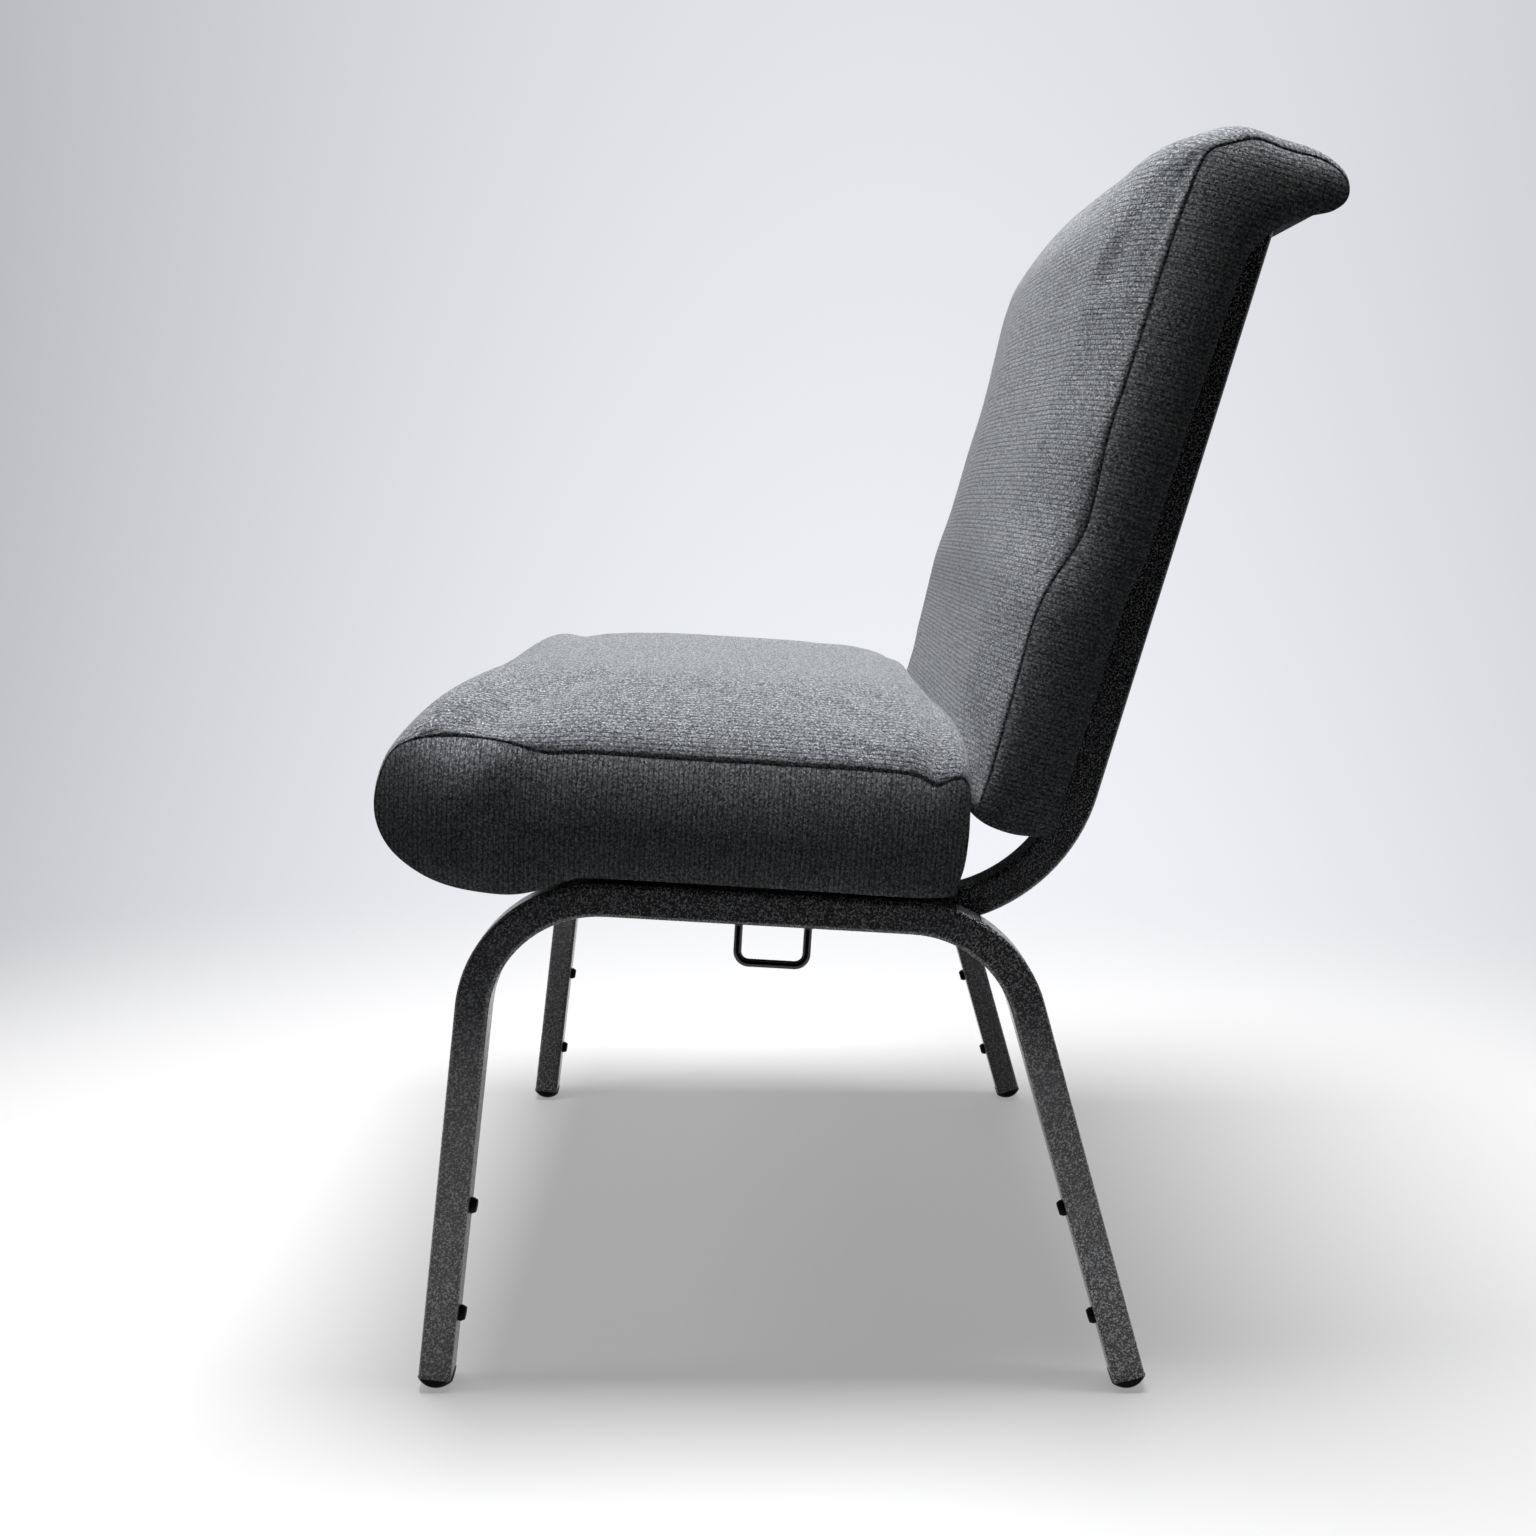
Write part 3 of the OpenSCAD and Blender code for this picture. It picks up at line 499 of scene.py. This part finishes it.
back = {  # millimetres on the back: see back_outline_shares in part.scad
    "bottom": 51.75, "height": 458, "sideDepth": 51, "crown": 39,
    "halfWidth": 247, "sections": 28, "long": 68, "short": 8, "frontPoints": 54, "turned": False,
    "seamWidth": 0.3, "seamDepth": 0.9, "puff": 4.5,
    "edge": 8, "shoulderEdge": 3.5, "fullestAt": 0.68, "fullestSpread": 0.3,
    "dome": 0.15, "domeWidth": 0.3, "valley": 0.17, "valleyAt": 0.7, "valleyWidth": 0.25,
}
backRows = [  # up the back from 0, the bottom, to 1, the roll; forward; crown up; crown forward
    (0.017, 0, 0, 0), (0.002, 0.33, -0.08, 0), (0, 0.63, -0.1, 0.05), (0.006, 0.94, -0.08, 0.15),
    (0.024, 1.05, 0, 0.27), (0.075, 1.02, 0, 0.43), (0.15, 1.03, 0, 0.45), (0.235, 1.045, 0, 0.45),
    (0.31, 1.055, 0, 0.49), (0.362, 0.975, 0, 0.66), (0.402, 0.855, 0, 0.84),
    (0.445, 0.75, 0, 0.99), (0.5, 0.76, 0, 0.98), (0.58, 0.815, 0, 0.92), (0.68, 0.79, 0, 0.95),
    (0.785, 0.77, 0, 0.99), (0.88, 0.74, 0, 1.02), (0.948, 0.69, 0.05, 0.92),
    (0.971, 0.63, 0.16, 0.8), (0.979, 0.51, 0.26, 0.68), (0.989, 0.33, 0.36, 0.54), (1, 0.12, 0.43, 0.38),
    (0.996, -0.25, 0.46, 0.2), (0.997, -0.68, 0.4, 0.02), (0.987, -1, 0.3, -0.07),
    (0.968, -1.14, 0.26, -0.1), (0.951, -1.14, 0.24, -0.1), (0.935, -1, 0.22, -0.03),
    (0.921, -0.74, 0.18, 0), (0.903, -0.5, 0.1, 0), (0.878, -0.3, 0.04, 0), (0.847, -0.19, 0, 0),
    (0.77, -0.155, 0, 0), (0.63, -0.12, 0, 0), (0.46, -0.1, 0, 0), (0.41, -0.085, 0, 0),
    (0.378, -0.02, 0, 0), (0.32, 0, 0, 0), (0.19, 0, 0, 0), (0.08, 0, 0, 0),
]


def backCrown(p, u):
    # from the loins to the shoulders the foam is a soft dome, with a shallow valley on each side of it
    up = (p.y - back["bottom"]) / back["height"]
    reach = math.exp(-((up - back["fullestAt"]) / back["fullestSpread"]) ** 2)
    valley = back["valley"] * math.exp(-((abs(u) - back["valleyAt"]) / back["valleyWidth"]) ** 2)
    dome = back["dome"] * math.exp(-(u / back["domeWidth"]) ** 2)
    edge = back["edge"] - back["shoulderEdge"] * reach
    return math.sqrt(max(0.0, 1 - abs(u) ** edge)) * (1 + (dome - valley) * reach)


def backPuff(s, t):
    return (1 - abs(2 * t - 1) ** 3) * (1 - abs(2 * s - 1) ** 10) * back["puff"]


def buildBack():
    half = place["tube"] / 2
    rows = [Vector((-half - b * back["sideDepth"], back["bottom"] + a * back["height"],
                    -d * back["crown"], c * back["crown"])) for a, b, c, d in backRows]
    long, short, front = back["long"], back["short"], back["frontPoints"]
    marks = [(4, front), (18, long - front), (24, short), (27, long - front), (31, front), (0, short)]
    outline = smoothOutline(rows, marks)
    bm = cushionShell(outline, back, backCrown, backPuff)
    rear = (-half - 4) * mm
    frontRow = outline[:long + short]

    def isHeld(p):
        return p.y > rear or atSide(p, back, 0.5)

    def isSeam(a, b):
        # along the front edge of the side panel, from the bottom over the roll
        return all(atSide(p, back, 0.02) and min(
            (Vector((p.y, p.z)) / mm - q.xy).length for q in frontRow) < 0.5 for p in (a, b))

    piece = sewnCover("back_cushion_cover", "back_cushion", bm, back, backPlace, isHeld, isSeam)


buildBack()
print("back made")

rearPanel = {  # millimetres on the back: the thin padded panel between the back tubes
    "width": 434.8, "bottom": 93.2, "top": 449.75, "front": -11.5, "depth": 16,
    "edge": 5, "columns": 40, "rows": 34, "sink": 2.5,
}


def buildRearPanel():
    width, depth, front = rearPanel["width"], rearPanel["depth"], rearPanel["front"]
    bottom, high = rearPanel["bottom"], rearPanel["top"] - rearPanel["bottom"]
    middle = bottom + high / 2
    bm = bmesh.new()
    bmesh.ops.create_cube(bm, size=1)
    bmesh.ops.scale(bm, vec=(width, depth, high), verts=bm.verts[:])
    bmesh.ops.translate(bm, verts=bm.verts[:], vec=(0, front + depth / 2, middle))
    rim = [e for e in bm.edges if all(v.co.y > front + 1 for v in e.verts)
           or abs((e.verts[0].co - e.verts[1].co).normalized().y) > 0.9]
    bmesh.ops.bevel(bm, geom=rim, offset=rearPanel["edge"], offset_type="OFFSET", segments=4, profile=0.5,
                    affect="EDGES", material=-1)
    cuts = [(Vector((1, 0, 0)), -width / 2, width, rearPanel["columns"]),
            (Vector((0, 0, 1)), bottom, high, rearPanel["rows"])]
    for axis, start, reach, count in cuts:
        for k in range(1, count):
            bmesh.ops.bisect_plane(bm, geom=bm.verts[:] + bm.edges[:] + bm.faces[:], dist=1e-4,
                                   plane_co=axis * (start + reach * k / count), plane_no=axis)
    uv = bm.loops.layers.uv.new("weave")
    for face in bm.faces:
        for loop in face.loops:
            loop[uv].uv = (0.5 + loop.vert.co.x * mm, (loop.vert.co.z + loop.vert.co.y) * mm)
    for v in bm.verts:  # the padding thins towards the panel's edges
        if v.co.y > front + depth - 0.5:
            across = abs(v.co.x) / (width / 2)
            up = abs(v.co.z - middle) / (high / 2)
            v.co.y -= rearPanel["sink"] * (across ** 6 + up ** 6) / 2
    bmesh.ops.recalc_face_normals(bm, faces=bm.faces[:])
    bmesh.ops.transform(bm, matrix=backPlace, verts=bm.verts[:])
    piece = pieceFrom(bm, "rear_panel_cover")
    finishCover(piece, "rear_panel")


buildRearPanel()
print("rear panel made")

studio = {  # metres: the floor, and how its far end fades out into the backdrop
    "radius": 14, "floor": "#f8f8f9", "shadowFill": 0.29, "white": 1.06,
    "fadeFrom": (0.9, 0, 0), "fadeStart": 1.25, "fadeEnd": 2.25,
    # the patch of floor by the near legs that throws light back on the chair
    "patch": (0.35, 0, 0), "patchShape": (1, 0.4, 0), "patchStart": 0.06, "patchEnd": 0.14, "bounce": 0.03,
    # the backdrop, and the world's own light
    "sky": "#ecedf1", "skyMiddle": 0.08, "skySide": -1.2, "skyUp": -0.29, "skyLeast": 0.55,
    "brightSide": 0.45, "brightFrom": -0.9, "dimSide": 0.01, "dimFrom": 0.1,
}


def seenDirectly(tree, ray):
    # 1 for what the eye sees, also in a reflection or through glass
    seen = addNode(tree, "ShaderNodeMath", {"operation": "MAXIMUM"}, {
        0: ray["Is Camera Ray"], 1: ray["Is Glossy Ray"]})
    return addNode(tree, "ShaderNodeMath", {"operation": "MAXIMUM"}, {
        0: seen.outputs[0], 1: ray["Is Transmission Ray"]}).outputs[0]


def buildFloor():
    bm = bmesh.new()
    bmesh.ops.create_circle(bm, cap_ends=True, segments=96, radius=studio["radius"])
    floor = pieceFrom(bm, "floor")
    material, tree, shader = newMaterial("pale_studio_floor", {
        "Roughness": 0.6, "Specular IOR Level": 0.2})
    # lamps light the whole floor, but only a patch of it by the near legs throws light back on the chair
    spot = addNode(tree, "ShaderNodeNewGeometry").outputs["Position"]
    ray = addNode(tree, "ShaderNodeLightPath").outputs
    off = addNode(tree, "ShaderNodeVectorMath", {"operation": "SUBTRACT"}, {
        0: spot, 1: studio["patch"]}).outputs[0]
    off = addNode(tree, "ShaderNodeVectorMath", {"operation": "MULTIPLY"}, {
        0: off, 1: studio["patchShape"]})
    off = addNode(tree, "ShaderNodeVectorMath", {"operation": "LENGTH"}, {0: off.outputs[0]})
    beyond = addNode(tree, "ShaderNodeMapRange", links={
        "Value": off.outputs["Value"], "From Min": studio["patchStart"], "From Max": studio["patchEnd"]})
    dimmed = addNode(tree, "ShaderNodeMath", {"operation": "MULTIPLY"}, {
        0: beyond.outputs[0], 1: ray["Is Diffuse Ray"]})
    pale = colour(studio["floor"])
    dim = [c * studio["bounce"] for c in pale[:3]] + [1]
    mixed = addNode(tree, "ShaderNodeMix", {"data_type": "RGBA"}, {0: dimmed.outputs[0], 6: pale, 7: dim})
    tree.links.new(mixed.outputs[2], shader.inputs["Base Color"])
    # the eye and reflections see it whiter, with a lighter shadow, and fading out into the backdrop
    seen = seenDirectly(tree, ray)
    fill = addNode(tree, "ShaderNodeMath", {"operation": "MULTIPLY"}, {0: seen, 1: studio["shadowFill"]})
    white = addNode(tree, "ShaderNodeEmission", links={"Strength": studio["white"]})
    whiter = addNode(tree, "ShaderNodeMixShader", links={
        0: fill.outputs[0], 1: shader.outputs[0], 2: white.outputs[0]})
    away = addNode(tree, "ShaderNodeVectorMath", {"operation": "DISTANCE"}, {
        0: spot, 1: studio["fadeFrom"]}).outputs["Value"]
    faded = addNode(tree, "ShaderNodeMapRange", {"interpolation_type": "SMOOTHSTEP"}, {
        "Value": away, "From Min": studio["fadeStart"], "From Max": studio["fadeEnd"]})
    clear = addNode(tree, "ShaderNodeMath", {"operation": "MULTIPLY"}, {0: faded.outputs[0], 1: seen})
    both = addNode(tree, "ShaderNodeMixShader", links={
        0: clear.outputs[0], 1: whiter.outputs[0], 2: addNode(tree, "ShaderNodeBsdfTransparent").outputs[0]})
    tree.links.new(both.outputs[0], tree.nodes["Material Output"].inputs["Surface"])
    floor.data.materials.append(material)


def buildWorld():
    world = bpy.data.worlds.new("studio")
    scene.world = world
    world.use_nodes = True
    tree = world.node_tree
    direction = addNode(tree, "ShaderNodeTexCoord").outputs["Generated"]
    along = addNode(tree, "ShaderNodeSeparateXYZ", links={"Vector": direction}).outputs
    # the eye and reflections see a pale backdrop, darker to its sides and upwards
    side = addNode(tree, "ShaderNodeMath", {"operation": "SUBTRACT"}, {
        0: along["Y"], 1: studio["skyMiddle"]}).outputs[0]
    side = addNode(tree, "ShaderNodeMath", {"operation": "MULTIPLY"}, {0: side, 1: side}).outputs[0]
    shade = addNode(tree, "ShaderNodeMath", {"operation": "MULTIPLY_ADD"}, {
        0: side, 1: studio["skySide"], 2: 1.0}).outputs[0]
    shade = addNode(tree, "ShaderNodeMath", {"operation": "MULTIPLY_ADD"}, {
        0: along["Z"], 1: studio["skyUp"], 2: shade}).outputs[0]
    shade = addNode(tree, "ShaderNodeMath", {"operation": "MAXIMUM"}, {
        0: shade, 1: studio["skyLeast"]}).outputs[0]
    pale = addNode(tree, "ShaderNodeBackground", links={"Color": colour(studio["sky"]), "Strength": shade})
    # the light comes from the far side, and next to none from the near side
    level = addNode(tree, "ShaderNodeMapRange", {"interpolation_type": "SMOOTHSTEP"}, {
        "Value": along["X"], "From Min": studio["brightFrom"], "From Max": studio["dimFrom"],
        "To Min": studio["brightSide"], "To Max": studio["dimSide"]}).outputs[0]
    light = addNode(tree, "ShaderNodeBackground", links={"Strength": level})
    seen = seenDirectly(tree, addNode(tree, "ShaderNodeLightPath").outputs)
    mixed = addNode(tree, "ShaderNodeMixShader", links={0: seen, 1: light.outputs[0], 2: pale.outputs[0]})
    tree.links.new(mixed.outputs[0], tree.nodes["World Output"].inputs["Surface"])


flag = {"x": 0.95, "width": 3.0, "height": 2.4, "cloth": "#0a0a0a"}  # metres


def buildFlag():
    # black cloth on the near side, which only reflections see: it keeps the frame's sides dark
    bm = bmesh.new()
    bmesh.ops.create_grid(bm, x_segments=1, y_segments=1, size=0.5)
    bmesh.ops.scale(bm, vec=(flag["height"], flag["width"], 1), verts=bm.verts[:])
    bmesh.ops.rotate(bm, verts=bm.verts[:], matrix=Matrix.Rotation(math.radians(90), 3, "Y"))
    bmesh.ops.translate(bm, verts=bm.verts[:], vec=(flag["x"], 0, flag["height"] / 2))
    cloth = pieceFrom(bm, "black_flag")
    material, _, _ = newMaterial("black_velvet_cloth", {
        "Base Color": colour(flag["cloth"]), "Roughness": 1.0, "Specular IOR Level": 0.0})
    cloth.data.materials.append(material)
    cloth.visible_camera = cloth.visible_diffuse = cloth.visible_shadow = False


lamps = [  # metres and watts
    {"name": "overhead_softbox", "spot": (0.05, -0.02, 2.4), "target": (0.05, -0.02, 0),
     "size": (0.7, 1.2), "power": 67},
    {"name": "front_softbox", "spot": (0.3, -1.5, 2.2), "target": (0.2, -0.2, 0.4),
     "size": (0.3, 0.6), "power": 3.5},
]


def hangLamp(settings):
    lamp = bpy.data.objects.new(settings["name"], bpy.data.lights.new(settings["name"], "AREA"))
    lamp.data.shape = "RECTANGLE"
    lamp.data.size, lamp.data.size_y = settings["size"]
    lamp.data.energy = settings["power"]
    lamp.location = settings["spot"]
    aim = Vector(settings["target"]) - Vector(settings["spot"])
    lamp.rotation_euler = aim.to_track_quat("-Z", "Y").to_euler()
    scene.collection.objects.link(lamp)


buildFloor()
buildWorld()
buildFlag()
for lamp in lamps:
    hangLamp(lamp)
print("studio made")

scene.view_settings.view_transform = "Standard"
